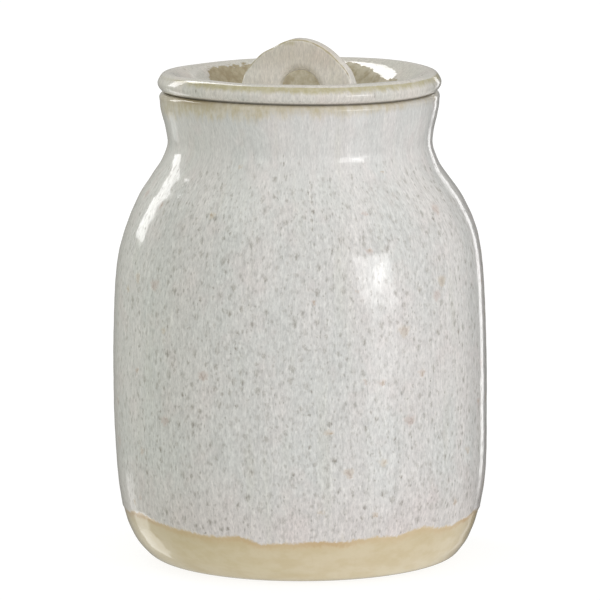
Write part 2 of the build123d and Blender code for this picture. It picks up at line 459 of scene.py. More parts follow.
def jar_material():
    m, N, bsdf = material("jar_glaze")
    flow = N.attr("flow")
    edge = N.attr("glaze_edge", "Fac")      # mm above the glaze line, negative on the base band
    down = N.attr("down", "Fac")            # mm down the outside from the lip
    inside = N.attr("inside", "Fac")
    rusty = N.attr("rusty", "Fac")
    teeth = N.noise(N.scale_vec(flow, 0.85, 0.85, 0.55, (2, 2, 2)), 1.0, 3.0, 0.65)
    bays = N.noise(N.scale_vec(flow, 0.26, 0.26, 0.22, (12, 2, 5)), 1.0, 2.0, 0.5)
    e = N.math("ADD", edge, N.math("MULTIPLY", N.math("SUBTRACT", teeth, 0.5), 3.0))
    e = N.math("ADD", e, N.math("MULTIPLY", N.math("SUBTRACT", bays, 0.5), 1.6))

    spots = N.math("MULTIPLY", N.range(down, 20.0, 42.0), N.range(e, -0.5, 3.0))
    spots = N.math("MULTIPLY", spots, N.range(inside, 0.0, 1.0, 1.0, 0.6))
    runs = N.noise(N.scale_vec(flow, 0.055, 0.055, 0.004, (6, 6, 1)), 1.0, 2.0, 0.5)
    lower = N.math("ADD", down, N.math("MULTIPLY", N.math("SUBTRACT", runs, 0.5), -9.0))
    lower = N.math("ADD", lower, N.math("MULTIPLY", N.xyz(flow)[0], 0.07))
    lip = N.range(lower, 14.0, 3.5, 0.0, 0.86, "LINEAR")
    near = N.range(e, 7.0, 0.0, 0.0, 0.34)
    thin_at = N.math("MAXIMUM", lip, near)
    streak = N.range(down, 12.0, 60.0, 0.45, 1.0)
    blush = N.range(edge, 26.0, 4.0, 0.0, 0.42)
    colour, height, speckle, mid, hair, mottle = white_glaze(N, flow, spots, thin_at, streak, blush)
    neck = N.math("MULTIPLY", N.range(down, 8.0, 16.0), N.range(down, 62.0, 40.0))
    colour = scaled(N, colour, N.math("ADD", N.math("MULTIPLY", neck, 0.05), 1.0))
    # umber on the lip just under the lid: partly clay showing through thin glaze, partly painted shadow of the lid's
    # edge
    rim = N.math("MULTIPLY", N.range(down, 8.0, 3.4), N.attr("umber", "Fac"))
    colour = N.mix(rim, colour, UMBER)

    # clear-glazed base band, warmer just under the line
    cloud = N.noise(N.scale_vec(flow, 0.10, 0.10, 0.16, (3, 12, 8)), 1.0, 3.0, 0.55)
    band = N.mix(N.range(cloud, 0.35, 0.65), srgb(203, 186, 149), srgb(210, 195, 163))
    band = N.mix(N.range(mottle, 0.45, 0.8, 0.0, 0.22), band, srgb(196, 176, 138))
    warm = N.math("MULTIPLY", N.range(e, -4.2, -0.4), 0.45)
    band = N.mix(warm, band, srgb(205, 178, 138))
    line_ = N.math("MULTIPLY", N.math("MULTIPLY", N.range(e, -2.6, -0.9), N.range(e, 0.6, -0.5)), rusty)
    on = N.range(e, -0.7, 0.9)
    colour = N.mix(on, band, colour)
    colour = N.mix(N.math("MULTIPLY", line_, 0.8), colour, TAN_DEEP)
    height = N.math("MULTIPLY", height, N.range(on, 0.0, 1.0, 0.6, 1.0))
    rough = N.range(speckle, 0.0, 1.0, 0.36, 0.5)
    glaze_surface(N, bsdf, colour, height, rough)
    return m


def clay_material():
    m, N, bsdf = material("bare_clay")
    flow = N.attr("flow")
    clay = N.noise(N.scale_vec(flow, 1.6, 1.6, 1.6), 1.0, 4.0, 0.7)
    grog = N.noise(N.scale_vec(flow, 5.0, 5.0, 5.0), 1.0, 2.0, 0.6)
    colour = N.mix(N.range(clay, 0.35, 0.7), CLAY_LIGHT, CLAY_DARK)
    colour = N.mix(N.range(grog, 0.62, 0.8, 0.0, 0.6), colour, srgb(140, 118, 92))
    N.put(bsdf.inputs["Base Color"], colour)
    N.put(bsdf.inputs["Roughness"], N.range(clay, 0.3, 0.7, 0.78, 0.92))
    N.put(bsdf.inputs["Normal"], N.bump(N.math("ADD", N.math("MULTIPLY", clay, 0.12), N.math("MULTIPLY", grog, 0.05)), 0.001))
    return m


def lid_material(name, tint, handle_painted_light=False):
    m, N, bsdf = material(name)
    flow = N.attr("flow")
    thin = N.attr("thin", "Fac")
    spots = N.attr("spots", "Fac")
    colour, height, speckle, mid, hair, mottle = white_glaze(N, flow, spots, thin, 0.75, tint=tint, tans=(BAND, BAND_PALE))
    # painted light: on the handle the colour grows paler and cooler towards the bottom of the ring, standing in for
    # light on its lower face
    if handle_painted_light:
        colour = N.vmath("MULTIPLY", colour, N.mix(N.range(N.xyz(flow)[2], -203.0, -192.0), (1.05, 1.05, 1.06), (1.33, 1.38, 1.48)))
    deep = N.attr("deep", "Fac")
    blotch = N.noise(N.scale_vec(flow, 0.30, 0.30, 0.36, (4, 19, 3)), 1.0, 3.0, 0.55)
    shore = N.math("ADD", deep, N.math("ADD", N.math("MULTIPLY", N.math("SUBTRACT", mid, 0.5), 0.5), N.math("MULTIPLY", N.math("SUBTRACT", blotch, 0.5), 0.7 if handle_painted_light else 2.6)))
    shore = N.math("MAXIMUM", shore, N.range(deep, 0.9, 1.0))
    ragged = N.math("MULTIPLY", N.range(shore, 0.34, 0.66), N.range(deep, 0.0, 0.12))
    # on the well's floor the glaze pooled thicker and paler
    fx, fy, fz = N.xyz(flow)
    pooled = N.math("MULTIPLY", N.range(fz, -5.0, 0.0), N.range(N.math("ADD", fz, N.math("MULTIPLY", N.math("SUBTRACT", blotch, 0.5), 16.0)), 37.0, 22.0))
    ragged = N.math("MULTIPLY", ragged, N.range(pooled, 0.0, 1.0, 1.0, 0.40, "LINEAR"))
    pool = scaled(N, N.mix(N.range(mid, 0.35, 0.65), srgb(156, 142, 112), srgb(176, 165, 138)), swing(N, hair, 0.4))
    # painted light: the pool is paler towards the back of the well, from a little left of the middle rightwards, where
    # it shows through the finger hole, standing in for light falling there
    pool = N.vmath("MULTIPLY", pool, N.mix(N.math("MULTIPLY", N.range(fx, -16.0, -2.0), N.range(fy, 8.0, 26.0)), (1.0, 1.0, 1.0), (1.13, 1.18, 1.30)))
    colour = N.mix(N.math("MULTIPLY", ragged, 0.93), colour, pool)
    # painted shade: the underside and lowest millimetre of the lid's bead are darkened, standing in for the shadow in
    # the gap between lid and lip
    colour = scaled(N, colour, N.range(N.attr("painted_crevice_shade", "Fac"), 0.0, 1.0, 1.0, 0.45))
    rough = N.range(speckle, 0.0, 1.0, 0.34, 0.5)
    # down in the well the glaze is thin and dull, with a ragged upper edge
    dull = N.math("MULTIPLY", N.range(shore, 0.46, 0.60), N.range(deep, 0.0, 0.12))
    glaze_surface(N, bsdf, colour, height, N.mix(dull, N.pack(rough, rough, rough), (0.5, 0.5, 0.5)))
    N.put(bsdf.inputs["Coat Weight"], N.range(dull, 0.0, 1.0, 1.0, 0.12, "LINEAR"))
    return m


def seal_material():
    m, N, bsdf = material("seal_silicone")
    flow = N.attr("flow")
    fine = N.noise(N.scale_vec(flow, 1.2, 1.2, 1.2), 1.0, 3.0, 0.6)
    dust = N.noise(N.scale_vec(flow, 4.0, 4.0, 4.0), 1.0, 2.0, 0.6)
    colour = N.mix(N.range(fine, 0.3, 0.7), srgb(226, 224, 217), srgb(214, 211, 203))
    colour = N.mix(N.range(dust, 0.6, 0.8, 0.0, 0.3), colour, srgb(196, 193, 184))
    N.put(bsdf.inputs["Base Color"], colour)
    N.put(bsdf.inputs["Roughness"], N.range(fine, 0.3, 0.7, 0.42, 0.58))
    bsdf.inputs["IOR"].default_value = 1.42
    bsdf.inputs["Subsurface Weight"].default_value = 0.25
    bsdf.inputs["Subsurface Radius"].default_value = (0.003, 0.003, 0.0028)
    bsdf.inputs["Subsurface Scale"].default_value = 0.6
    N.put(bsdf.inputs["Normal"], N.bump(dust, 0.00004))
    return m


# ================================================================ jar body
OUTER = [
    (50.0, 0.0), (57.2, 0.62), (61.3, 2.05), (63.9, 4.0), (65.75, 6.1), (69.08, 12.0), (71.2, 18.0), (72.6, 24.0),
    (73.55, 30.0), (74.2, 37.0), (74.62, 46.0), (74.88, 57.0), (75.0, 69.0), (74.95, 82.0), (74.66, 94.0),
    (74.24, 105.0), (73.62, 115.0), (72.52, 124.0), (70.55, 132.3), (67.58, 140.2), (63.6, 148.0), (58.85, 154.8),
    (55.1, 160.8), (52.95, 167.6), (53.68, 173.4), (55.02, 179.0), (55.7, 182.2), (55.85, 185.7),
]
LIP_TOP = 188.0
R0 = 60.0   # radius of the circle that stands for the way round in the glaze coordinates


def glaze_line(theta):
    """Height of the white glaze's lower edge round the jar, in mm. theta is from the front (-Y) towards +X."""
    t = np.mod(theta + math.pi, 2 * math.pi) - math.pi
    deg = np.degrees(t)
    key = np.array([-180, -150, -120, -95, -76, -62, -50, -38, -28, -20, -13, -4, 6, 15, 23, 32, 42, 52, 62, 72, 95, 120, 150, 180.0])
    val = np.array([20.2, 18.6, 20.9, 20.4, 22.2, 23.4, 21.7, 20.6, 19.4, 20.3, 17.9, 18.4, 18.5, 18.2, 19.7, 19.3, 20.6, 19.8, 19.9, 21.2, 19.0, 21.0, 18.9, 20.2])
    return spline(key, val, deg) + 0.28 * waves(t, 5, 9, 40, 0.35)


def rust_amount(theta):
    """Where the glaze line has a dark rusty edge, by the way round."""
    t = np.degrees(np.mod(theta + math.pi, 2 * math.pi) - math.pi)
    out = 0.18 + 0.12 * waves(theta, 8, 3, 14, 0.4)
    for at, wide, much in ((-61, 9, 0.95), (66, 4, 0.8), (34, 6, 0.25), (-17, 7, 0.3), (128, 12, 0.7), (-150, 10, 0.8), (172, 8, 0.4), (-105, 6, 0.5)):
        d = np.mod(t - at + 180, 360) - 180
        out = out + much * np.exp(-((d / wide) ** 2))
    return np.clip(out, 0, 1)


def make_jar(mats):
    seg = 320
    out = path(OUTER, 0.35)
    # denser where the glaze line runs, coarser on the belly
    keep, last = [0], out[0]
    for i in range(1, len(out) - 1):
        z = out[i, 1]
        step = 0.42 if z < 6 else 0.9 if z < 15 else 0.42 if z < 25 else 1.9 if z < 150 else 1.15 if z < 178 else 0.6
        if np.hypot(*(out[i] - last)) >= step:
            keep.append(i)
            last = out[i]
    keep.append(len(out) - 1)
    out = out[keep]
    lip_o = arc(53.55, 185.7, 2.3, 0, 90, 9)
    lip_i = arc(51.3, 185.7, 2.3, 90, 180, 9)
    inner = path([(49.0, 185.7), (49.0, 181.0), (49.0, 176.0), (48.1, 171.6), (47.4, 167.2), (49.6, 162.5), (54.0, 156.6),
                  (58.6, 149.6), (62.4, 141.2), (65.2, 133.0), (67.0, 124.0), (68.2, 114.0), (69.0, 100.0), (69.35, 82.0),
                  (69.45, 66.0), (69.25, 50.0), (68.6, 38.0), (67.6, 29.0), (65.8, 21.0)], 2.6)
    corner = path([(65.8, 21.0), (62.6, 14.6), (57.2, 9.9), (50.0, 7.5), (42.0, 7.4)], 2.4)
    floor = line((42.0, 7.4), (1.2, 7.4), 15)
    under = join(line((1.2, 2.6), (34.6, 2.6), 12), path([(34.6, 2.6), (36.2, 2.45), (37.4, 1.5), (38.3, 0.5), (39.4, 0.02)], 0.45),
                 line((39.4, 0.0), (50.0, 0.0), 9))
    up = np.concatenate([under[:, :], out[1:]])
    prof = join(up, lip_o, lip_i, inner, corner, floor)
    n = len(prof)
    T, R, Z = revolve_grid(prof, seg)
    # theta 0 is the front
    th = T
    outside = np.zeros(n)
    n_under, n_out = len(under), len(out) - 1
    idx = np.arange(n)
    is_outside = (idx >= n_under) & (idx < n_under + n_out)
    i_lip = n_under + n_out
    # distance along the profile from the lip's top, positive down the outside, negative down the inside
    ds = np.concatenate([[0], np.cumsum(np.hypot(*np.diff(prof, axis=0).T))])
    s = ds[i_lip + 8] - ds
    line_z = glaze_line(th)
    edge = Z - line_z
    outs = np.repeat(is_outside[:, None], seg, 1)
    # outward normal of the profile
    g = np.gradient(prof, axis=0)
    g /= np.maximum(np.hypot(g[:, 0], g[:, 1]), 1e-9)[:, None]
    nr, nz = g[:, 1], -g[:, 0]
    # relief on the outside: base surface a little inside, white glaze a step proud with a rolled edge
    step = 0.20 * smooth(edge, -0.25, 0.55) + 0.10 * np.exp(-(((edge - 0.75) / 0.75) ** 2))
    form = 0.10 * field(R * np.cos(th), R * np.sin(th), Z * 0.6, 3, 62.0)
    rings = 0.03 * np.sin(Z * 2 * math.pi / 7.3 + 0.8 * np.sin(th) + 1.3 * np.sin(Z / 17.0))
    rel = np.where(outs, -0.42 + step + form + rings, 0.0)
    rel *= smooth(Z, 0.3, 5.0) * (1 - smooth(Z, 184.0, 186.5))
    R2 = R + rel * nr[:, None]
    Z2 = Z + rel * nz[:, None]
    # slow sideways drift of the wall, and the saddle of the lip
    drift = spline([-5, 0, 1, 2, 4, 6, 9, 14, 22, 34, 46, 60, 72, 84, 98, 110, 124, 133, 140, 147, 152, 157, 162, 168, 175, 182, 190],
                   [1.3, 1.3, 1.3, 1.25, 0.98, 0.75, 0.5, 0.25, 0.18, 0.18, 0.01, -0.27, -0.25, -0.27, -0.17, -0.1, 0.15, 0.5, 0.45, 0.23, 0.03,
                    -0.09, 0.15, 0.35, 0.35, 0.23, 0.23], Z2)
    X = R2 * np.sin(th) + drift
    Y = -R2 * np.cos(th)
    Z3 = crook(X, Y, Z2)
    verts = np.stack([X.ravel(), Y.ravel(), Z3.ravel()], 1)
    verts = np.concatenate([verts, [[0, 0, 2.6], [0, 0, 7.4]]])
    faces = revolve_faces(n, seg)

    sgrid = np.repeat(s[:, None], seg, 1)
    flow = np.stack([R0 * np.sin(th), -R0 * np.cos(th), sgrid], -1).reshape(-1, 3)
    # on the floor and under the foot the glaze coordinates close up towards the axis
    flat = ((idx < n_under) | (idx >= n - len(floor)))
    small = np.repeat((prof[:, 0] / 60.0)[:, None], seg, 1).ravel()
    flat_v = np.repeat(flat[:, None], seg, 1).ravel()
    flow[flat_v, 0] *= small[flat_v]
    flow[flat_v, 1] *= small[flat_v]
    flow = np.concatenate([flow, [[0, 0, s[0]], [0, 0, s[-1]]]])
    edge_v = np.where(outs, edge, np.where((idx < i_lip)[:, None], -20.0, 20.0)).ravel()
    edge_v = np.concatenate([edge_v, [-20.0, 20.0]])
    down = np.concatenate([np.where((idx < i_lip)[:, None] | (idx < i_lip + 9)[:, None], sgrid, np.maximum(0, -sgrid * 1.0)).ravel(), [200, 200]])
    inside = np.concatenate([np.repeat((idx > i_lip + 14)[:, None], seg, 1).ravel().astype(float), [0, 1]])
    rusty = np.concatenate([np.repeat(rust_amount(th[0])[None], n, 0).ravel(), [0, 0]])
    # how much umber the lip takes, by the way round: partly thin glaze, partly painted shadow under the lid's edge
    deg = np.degrees(np.mod(th[0] + math.pi, 2 * math.pi) - math.pi)
    umber = 0.12 + 0.10 * waves(th[0], 77, 3, 12, 0.5)
    for at, wide, much in ((-48, 17, 0.75), (-72, 10, 0.35), (38, 7, 0.15), (68, 9, 0.12), (110, 16, 0.6), (160, 12, 0.4), (-140, 18, 0.6)):
        umber = umber + much * np.exp(-(((np.mod(deg - at + 180, 360) - 180) / wide) ** 2))
    umber = np.concatenate([np.repeat(np.clip(umber, 0, 1)[None], n, 0).ravel(), [0, 0]])
    rr = prof[:, 0]
    ring = (idx < n_under + 2) & (rr > 37.6) & (prof[:, 1] < 0.35)
    bare = [1 if all(v < n * seg and ring[v // seg] for v in f) else 0 for f in faces]
    return mesh_object(
        "jar_body_glazed", verts, faces,
        {"flow": ("FLOAT_VECTOR", flow), "glaze_edge": ("FLOAT", edge_v), "down": ("FLOAT", down),
         "inside": ("FLOAT", inside), "rusty": ("FLOAT", rusty), "umber": ("FLOAT", umber)},
        mats, "jar", ["jar_body"], bare)


# ================================================================ lid
def make_lid(mats):
    seg = 300
    top = join(
        line((1.0, 174.0), (27.5, 174.0), 15),
        path([(27.5, 174.0), (30.3, 174.5), (32.6, 176.0), (34.3, 178.0), (37.0, 181.6), (40.0, 185.6), (43.0, 189.3), (46.0, 192.4),
              (47.5, 193.7), (49.0, 194.82), (50.3, 195.57), (51.66, 195.97)], 0.45),
        path([(51.66, 195.97), (52.7, 195.95), (53.65, 195.76), (54.5, 195.28), (54.95, 194.82), (55.45, 194.1), (56.02, 193.1), (56.48, 191.8), (56.25, 190.4), (55.47, 189.2), (54.58, 188.48), (53.9, 188.06)], 0.33),
        line((53.9, 188.06), (45.4, 188.06), 9),
        arc(45.4, 186.86, 1.2, 90, 180, 5),
        line((44.2, 186.86), (44.2, 184.8), 4),
        line((44.2, 184.8), (42.6, 184.8), 4),
        line((42.6, 184.8), (42.6, 177.2), 6),
        line((42.6, 177.2), (44.2, 177.2), 4),
        line((44.2, 177.2), (44.2, 176.0), 3),
        path([(44.2, 176.0), (42.6, 173.6), (38.6, 171.0), (34.0, 169.4), (28.0, 168.85)], 1.2),
        line((28.0, 168.85), (1.0, 168.85), 12),
    )
    prof = top[::-1]  # from under the axis outwards and over to the top of the axis
    n = len(prof)
    T, R, Z = revolve_grid(prof, seg)
    th = T
    g = np.gradient(prof, axis=0)
    g /= np.maximum(np.hypot(g[:, 0], g[:, 1]), 1e-9)[:, None]
    nr, nz = g[:, 1], -g[:, 0]
    upper = smooth(Z, 188.3, 189.6) * (R > 46.5)
    form = 0.10 * field(R * np.cos(th), R * np.sin(th), Z, 9, 34.0) - 0.10
    well = ((R < 46.5) & (Z > 173.5)) * 1.0
    rel = upper * form + well * smooth(R, 28.0, 33.0) * ((0.10 * field(R * np.cos(th), R * np.sin(th), Z, 9, 34.0) - 0.10)
                                                     + 0.05 * field(R * np.cos(th), R * np.sin(th), Z, 12, 11.0) * smooth(-R, -46.4, -44.0))
    R2 = R + rel * nr[:, None]
    Z2 = Z + rel * nz[:, None]
    X = R2 * np.sin(th) + 0.25
    Y = -R2 * np.cos(th)
    Z3 = crook(X, Y, Z2)
    verts = np.concatenate([np.stack([X.ravel(), Y.ravel(), Z3.ravel()], 1), [[0.25, 0, 168.85], [0.25, 0, 174.0]]])
    faces = revolve_faces(n, seg)
    ds = np.concatenate([[0], np.cumsum(np.hypot(*np.diff(prof, axis=0).T))])
    s = ds[-1] - ds      # 0 at the middle of the well, growing outwards
    # round the well the glaze coordinates are as wide as the place is
    ways = np.clip(prof[:, 0] / 56.0, 0.05, 1.0) * 56.0
    W = np.repeat(ways[:, None], seg, 1)
    S = np.repeat(s[:, None], seg, 1)
    flow = np.stack([W * np.sin(th), -W * np.cos(th), S], -1).reshape(-1, 3)
    flow = np.concatenate([flow, [[0, 0, s[0]], [0, 0, s[-1]]]])
    pr, pz = prof[:, 0], prof[:, 1]
    bead = np.clip((pz - 190.9) / 3.6, 0, 1) * (1 - smooth(pz, 194.95, 195.38)) * (pr > 53.0)
    ways_round = np.degrees(th[0])
    front_left = np.exp(-(((np.mod(ways_round + 75 + 180, 360) - 180) / 30.0) ** 2))
    right = np.exp(-(((np.mod(ways_round - 62 + 180, 360) - 180) / 34.0) ** 2))
    thin = bead[:, None] * (0.90 - 0.45 * front_left - 0.20 * right)[None]
    # the tan pool in the well reaches highest at the back, and is crisp at the right
    back = 180 - np.mod(ways_round, 360)
    left_side = smooth(back, -56.0, -49.0)
    edge = 43.4 + 5.0 * left_side * (1 - smooth(back, 24.0, 54.0))
    blur = 0.8 + 0.9 * (1 - smooth(back, -30.0, 10.0))
    deep = (1 - smooth(pr[:, None], (edge - blur)[None], (edge + blur)[None])) * (pz > 173.0)[:, None]
    seat = (pz < 188.2) & (pr > 45.0) & (pz > 187.9)
    bare = [1 if all(v < n * seg and seat[v // seg] for v in f) else 0 for f in faces]
    spots = 0.10 * (pz > 188.5)

    def grow(a, v0, v1):
        return np.concatenate([np.repeat(np.asarray(a, float)[:, None], seg, 1).ravel(), [v0, v1]])

    return mesh_object(
        "lid_glazed", verts, faces,
        {"flow": ("FLOAT_VECTOR", flow), "thin": ("FLOAT", np.concatenate([thin.ravel(), [0, 0]])), "deep": ("FLOAT", np.concatenate([deep.ravel(), [0, 1]])),
         "spots": ("FLOAT", grow(spots, 0, 0.2)),
         # painted shade under the bead's lower edge, for the gap between lid and lip
         "painted_crevice_shade": ("FLOAT", grow((1 - smooth(pz, 188.45, 189.1)) * (pr > 53.6), 0, 0))},
        mats, "lid", ["lid"], bare)


# ================================================================ ring handle
HOLE = (0.6, 187.5, 8.8)    # the finger hole's centre across and up, and its radius


def make_handle(mats):
    """A disc with a finger hole, rounded all round, standing on edge in the well and flared where it is luted to the floor."""
    yaw = math.radians(-20.0)
    cz, rad, thick = 185.45, 23.38, 6.3
    hx, hz, hr = HOLE
    n_a, n_f, n_o, n_h = 300, 15, 11, 11
    half = thick / 2
    ang = np.linspace(0, 2 * math.pi, n_a, endpoint=False)
    # outline seen from the front, by the angle from +x towards +z: hand cut, flatter at both shoulders
    phi = np.linspace(0, 2 * math.pi, 1441)
    at = np.array([-20, 0, 14, 22, 28, 34, 41, 49, 62, 76, 86, 94, 103, 110, 117, 123, 129, 138, 148, 157, 168, 180, 270, 340, 360])
    out = np.array([24.15, 24.15, 24.1, 23.98, 23.9, 23.5, 23.05, 22.98, 23.1, 23.3, 23.38, 23.36, 22.9, 22.5, 22.22, 22.4, 22.76,
                    23.02, 23.5, 24.0, 24.15, 24.15, 24.1, 24.15, 24.15])
    rr = spline(at, out, np.degrees(phi))
    ox, oz = rr * np.cos(phi), cz + rr * np.sin(phi)
    a_out = np.arctan2(oz - hz, ox - hx)
    d_out = np.hypot(ox - hx, oz - hz)
    order = np.argsort(np.mod(a_out, 2 * math.pi))
    dist = np.interp(ang, np.mod(a_out, 2 * math.pi)[order], d_out[order], period=2 * math.pi)
    hole = hr + 0.10 * waves(ang, 21, 2, 5)
    verts, thin, n_loop = [], [], None
    for a, d, h in zip(ang, dist, hole):
        ro, rh = 1.2, 1.9
        # the front of the hole is worn wide at the top and right, and keeps a crisp edge at the left
        rf = 1.2 + 1.9 * float(smooth(math.cos(a - math.radians(42)), -0.75, 0.45))
        # per point: 1 at the middle of the outer roundings, half on the hole's roundings; later it darkens the ring's
        # upper roundings, partly as glaze breaking thin on edges and partly as painted shade
        loop, edge_wear_and_shade = [], []
        for t in np.linspace(0, 1, n_f):                       # front face, hole to rim
            loop.append((h + rf + (d - ro - h - rf) * t, -half)); edge_wear_and_shade.append(0.0)
        for t in np.radians(np.linspace(-90, 0, n_o))[1:]:     # front outer rounding
            loop.append((d - ro + ro * math.cos(t), -half + ro + ro * math.sin(t))); edge_wear_and_shade.append(1.0 - abs(math.degrees(t) + 45) / 45)
        for t in np.radians(np.linspace(0, 90, n_o)):          # back outer rounding
            loop.append((d - ro + ro * math.cos(t), half - ro + ro * math.sin(t))); edge_wear_and_shade.append(1.0 - abs(math.degrees(t) - 45) / 45)
        for t in np.linspace(0, 1, n_f)[1:-1]:                 # back face, rim to hole
            loop.append((d - ro - (d - ro - h - rh) * t, half)); edge_wear_and_shade.append(0.0)
        for t in np.radians(np.linspace(90, 180, n_h)):        # back rounding of the hole
            loop.append((h + rh + rh * math.cos(t), half - rh + rh * math.sin(t))); edge_wear_and_shade.append(0.5 * (1.0 - abs(math.degrees(t) - 135) / 45))
        for t in np.radians(np.linspace(180, 270, n_h))[:-1]:  # front rounding of the hole
            loop.append((h + rf + rf * math.cos(t), -half + rf + rf * math.sin(t))); edge_wear_and_shade.append(0.5 * (1.0 - abs(math.degrees(t) - 225) / 45))
        n_loop = len(loop)
        for (u, v) in loop:
            verts.append((hx + u * math.cos(a), v, hz + u * math.sin(a)))
        thin += edge_wear_and_shade
    V = np.array(verts)
    thin = np.array(thin)
    # faces a little crowned and uneven
    r_mid = np.hypot(V[:, 0], V[:, 2] - cz)
    crown = 0.12 * field(V[:, 0], V[:, 1] * 0 + np.sign(V[:, 1]) * 9.0, V[:, 2], 31, 21.0)
    V[:, 1] += crown * np.clip(np.abs(V[:, 1]) / half, 0, 1) * smooth(rad - r_mid, 0.0, 3.0)
    V[:, 1] = np.clip(V[:, 1], -half - 0.02, half + 0.02)
    faces = []
    for i in range(n_a):
        k = (i + 1) % n_a
        for j in range(n_loop):
            m = (j + 1) % n_loop
            faces.append((i * n_loop + j, i * n_loop + m, k * n_loop + m, k * n_loop + j))
    me = bpy.data.meshes.new("ring_raw")
    me.from_pydata(V.tolist(), [], faces)
    att = me.attributes.new("thin", "FLOAT", "POINT")
    att.data.foreach_set("value", np.asarray(thin, np.float32))
    import bmesh
    bm = bmesh.new()
    bm.from_mesh(me)
    for level in (176.0, 175.0, 174.4, 173.9):
        bmesh.ops.bisect_plane(bm, geom=bm.verts[:] + bm.edges[:] + bm.faces[:], plane_co=(0, 0, level), plane_no=(0, 0, 1))
    cut = bmesh.ops.bisect_plane(bm, geom=bm.verts[:] + bm.edges[:] + bm.faces[:], plane_co=(0, 0, 172.6), plane_no=(0, 0, 1), clear_inner=True)
    edges = [e for e in bm.edges if e.is_boundary]
    bmesh.ops.holes_fill(bm, edges=edges, sides=0)
    bmesh.ops.recalc_face_normals(bm, faces=bm.faces[:])
    bm.verts.ensure_lookup_table()
    lay = bm.verts.layers.float["thin"]
    P = np.array([v.co[:] for v in bm.verts])
    edge_wear_shade = np.array([v[lay] for v in bm.verts])
    # flare at the floor, where clay and glaze were smoothed over the joint
    f = np.exp(-np.clip(P[:, 2] - 173.9, 0, None) / 1.1) * smooth(P[:, 2], 173.7, 174.0)
    P[:, 1] += np.sign(P[:, 1]) * f * 1.5
    P[:, 0] += np.sign(P[:, 0] - 1.0) * f * 1.3 * smooth(np.abs(P[:, 0]), 8.0, 16.0)
    c, s = math.cos(yaw), math.sin(yaw)
    X = P[:, 0] * c - P[:, 1] * s + 0.25
    Y = P[:, 0] * s + P[:, 1] * c
    Z = crook(X, Y, P[:, 2])
    verts2 = np.stack([X, Y, Z], 1)
    index = {v: i for i, v in enumerate(bm.verts)}
    faces2 = [[index[v] for v in fc.verts] for fc in bm.faces]
    bm.free()
    bpy.data.meshes.remove(me)
    # glaze ran down the ring: the way across is x and thickness, the way down is z
    flow = np.stack([P[:, 0], P[:, 1] * 1.2 - 90, -P[:, 2]], 1)
    turn = np.degrees(np.arctan2(P[:, 2] - cz, P[:, 0]))
    near_top = np.exp(-(((np.hypot(P[:, 0], P[:, 2] - cz) - rad + 1.6) / 1.7) ** 2))
    thin_and_edge_shade = near_top * (0.62 * np.exp(-(((turn - 98) / 8) ** 2)) + 0.3 * np.exp(-(((turn - 125) / 16) ** 2)) + 0.22 * np.exp(-(((turn - 60) / 25) ** 2)))
    # glaze break and painted shade: on the upper half of the ring the roundings take the tan of thin glaze, which also
    # darkens these upward-facing roundings as shade would
    thin_and_edge_shade = np.clip(np.maximum(thin_and_edge_shade, 0.75 * edge_wear_shade * smooth(P[:, 2], 184.0, 200.0)), 0, 1)
    deep = 1 - smooth(P[:, 2], 174.0, 183.0)
    return mesh_object(
        "lid_handle_glazed", verts2, faces2,
        # the foot of the ring takes the well's pool colour; the upper roundings take it too, partly glaze break and
        # partly painted shade
        {"flow": ("FLOAT_VECTOR", flow), "thin": ("FLOAT", thin_and_edge_shade), "deep": ("FLOAT", np.maximum(0.35 * deep, 0.66 * edge_wear_shade * smooth(P[:, 2], 184.0, 198.0))),
         "spots": ("FLOAT", np.zeros(len(P))), "painted_crevice_shade": ("FLOAT", np.zeros(len(P)))},
        mats, "lid", ["lid_handle"])


# ================================================================ seal
def make_seal(mats):
    seg = 240
    z0, z1 = 177.3, 184.7

    def fin(z):
        return join(
            path([(45.2, z + 0.9), (46.6, z + 1.15), (48.2, z + 1.9), (48.55, z + 2.3)], 0.35),
            arc(48.35, z + 2.5, 0.3, 0, 130, 6),
            path([(48.1, z + 2.7), (47.2, z + 2.2), (46.0, z + 2.0), (45.2, z + 2.0)], 0.35),
        )

    prof = join(
        line((42.65, z0 + 0.3), (42.9, z0), 3), line((42.9, z0), (44.9, z0), 6), line((44.9, z0), (45.2, z0 + 0.3), 3),
        line((45.2, z0 + 0.3), (45.2, z0 + 0.9), 3), fin(z0), line((45.2, z0 + 2.0), (45.2, z0 + 4.2), 5), fin(z0 + 3.3),
        line((45.2, z0 + 5.3), (45.2, z1 - 0.3), 4), line((45.2, z1 - 0.3), (44.9, z1), 3), line((44.9, z1), (42.9, z1), 6),
        line((42.9, z1), (42.65, z1 - 0.3), 3), line((42.65, z1 - 0.3), (42.65, z0 + 0.3), 8),
    )[:-1]
    n = len(prof)
    T, R, Z = revolve_grid(prof, seg)
    ripple = 0.07 * waves(T, 41, 3, 14, 0.5) * smooth(R, 46.0, 48.4)
    X = (R - np.abs(ripple)) * np.sin(T) + 0.25
    Y = -(R - np.abs(ripple)) * np.cos(T)
    Zc = crook(X, Y, Z + ripple * 0.8)
    verts = np.stack([X.ravel(), Y.ravel(), Zc.ravel()], 1)
    faces = revolve_faces(n, seg, capped=False)
    flow = np.stack([X.ravel(), Y.ravel(), Z.ravel()], 1)
    return mesh_object("seal_ring_silicone", verts, faces, {"flow": ("FLOAT_VECTOR", flow)}, mats, "lid", ["seal_ring"])


clay = clay_material()
jar = make_jar([jar_material(), clay])
lid = make_lid([lid_material("lid_glaze", (1.0, 0.975, 0.925)), clay])
ring = make_handle([lid_material("handle_glaze", CREAM, True)])
seal = make_seal([seal_material()])


